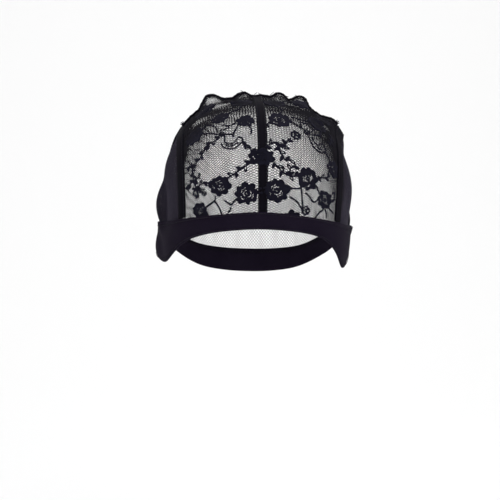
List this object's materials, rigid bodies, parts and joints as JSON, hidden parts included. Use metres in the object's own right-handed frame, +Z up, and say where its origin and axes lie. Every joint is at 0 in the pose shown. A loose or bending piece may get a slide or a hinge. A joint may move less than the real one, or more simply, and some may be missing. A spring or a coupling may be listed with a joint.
{
  "type": "lace wig cap",
  "caption": "Stretch lace wig cap with a brow band and ear tabs, floral lace front, dense net sides, plain net back and tapes over its gathered seams.",
  "frame": {"origin": "middle of the head opening, level with the brow band's lower edge at the forehead", "axes": "+Z up over the crown, -Y the way the wearer faces, +X towards the wearer's left"},
  "size_m": [0.159, 0.1924, 0.1589],
  "materials": {
    "band_knit": "matte ribbed stretch knit, black",
    "seam_tape": "matte woven tape, black",
    "floral_lace": "open net with raised floral work, black",
    "dense_net": "dense stretch net, black",
    "plain_net": "open plain net, black"
  },
  "bodies": {
    "root": {"brow_band": "band_knit", "nape_band": "band_knit", "centre_tape": "seam_tape", "crown_tape": "seam_tape", "side_tape_right": "seam_tape", "side_tape_left": "seam_tape", "front_lace_right": "floral_lace", "front_lace_left": "floral_lace", "side_panel_right": "dense_net", "side_panel_left": "dense_net", "back_panel": "plain_net"}
  },
  "joints": []
}
